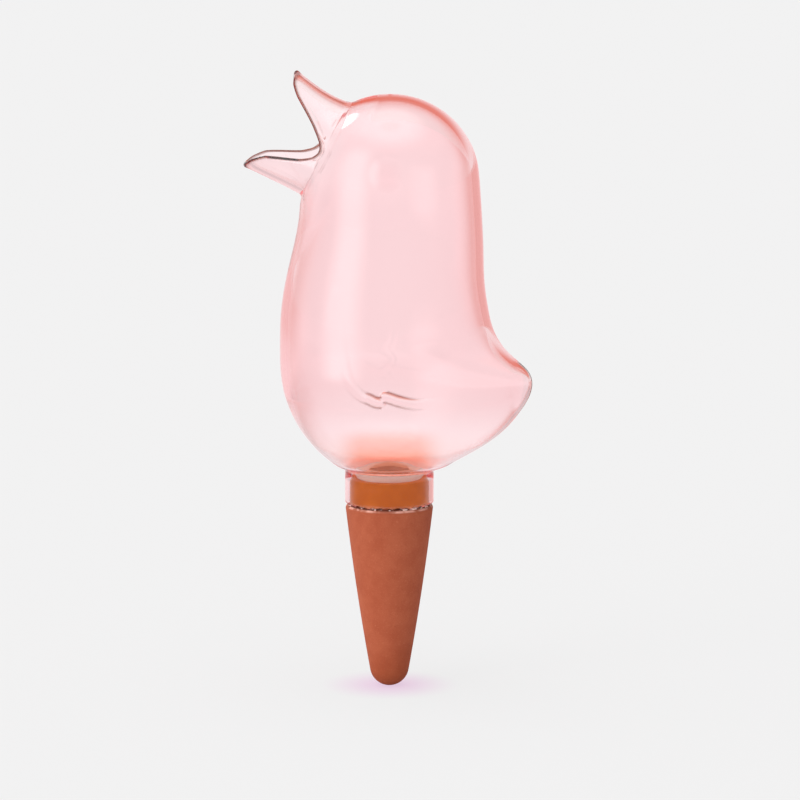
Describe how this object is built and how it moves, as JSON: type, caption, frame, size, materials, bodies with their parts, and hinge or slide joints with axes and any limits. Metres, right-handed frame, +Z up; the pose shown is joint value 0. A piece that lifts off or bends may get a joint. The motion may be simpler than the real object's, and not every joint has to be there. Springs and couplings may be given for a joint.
{
  "type": "watering globe",
  "caption": "Bird-shaped blown glass watering globe with an open beak, sealed by a rubber sleeve on a porous clay stake.",
  "frame": {"origin": "the round tip of the clay stake, on the stake's axis", "axes": "+Z up the stake's axis, -X towards the beak, +X towards the tail, +Y towards the bird's right side"},
  "size_m": [0.0769, 0.0558, 0.1661],
  "materials": {
    "terracotta": "matt unglazed fired clay",
    "amber_rubber": "translucent silicone rubber",
    "pink_glass": "clear pale pink blown glass"
  },
  "bodies": {
    "stake": {"clay_stake": "terracotta"},
    "seal": {"seal_sleeve": "amber_rubber"},
    "globe": {"bulb": "pink_glass", "beak": "pink_glass", "neck": "pink_glass", "left_eye": "pink_glass", "right_eye": "pink_glass", "left_wing": "pink_glass", "right_wing": "pink_glass"}
  },
  "joints": [
    {"name": "globe_swivel", "type": "hinge", "parent": "stake", "child": "seal", "pos_m": [0, 0, 0.0496], "axis": [0, 0, 1], "continuous": true},
    {"name": "globe_lift_off", "type": "slide", "parent": "seal", "child": "globe", "axis": [0, 0, 1], "range_m": [0, 0.012]}
  ]
}
